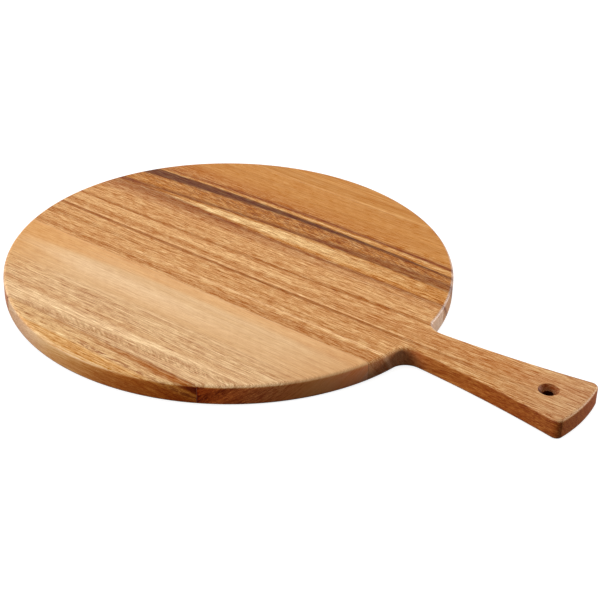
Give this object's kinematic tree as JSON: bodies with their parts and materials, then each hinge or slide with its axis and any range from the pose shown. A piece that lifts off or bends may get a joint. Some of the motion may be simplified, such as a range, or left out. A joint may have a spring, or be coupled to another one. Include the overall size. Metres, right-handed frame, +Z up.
{
  "type": "pizza serving board",
  "caption": "Round wooden pizza serving board glued up edge to edge from staves, with a flared paddle handle and a countersunk hanging hole.",
  "frame": {"origin": "centre of the round, on its underside", "axes": "+X from the centre of the round along the handle to its tip, +Z up out of the serving face"},
  "size_m": [0.457, 0.33, 0.015],
  "materials": {
    "golden_wood": "oiled acacia, golden with brown dashes, satin",
    "pale_wood": "oiled acacia sapwood, cream with a curly brown edge, satin",
    "handle_wood": "oiled acacia, golden tan with fine straight lines, satin",
    "striped_wood": "oiled acacia heartwood with dark streaks and a cream flash, satin",
    "rear_wood": "oiled acacia, plain golden brown, satin",
    "wood_glue": "cured brown wood glue, flush with the sanded wood"
  },
  "bodies": {
    "root": {"front_stave": "golden_wood", "pale_stave": "pale_wood", "handle_stave": "handle_wood", "striped_stave": "striped_wood", "rear_stave": "rear_wood", "front_glue_line": "wood_glue", "pale_glue_line": "wood_glue", "striped_glue_line": "wood_glue", "rear_glue_line": "wood_glue"}
  },
  "joints": []
}
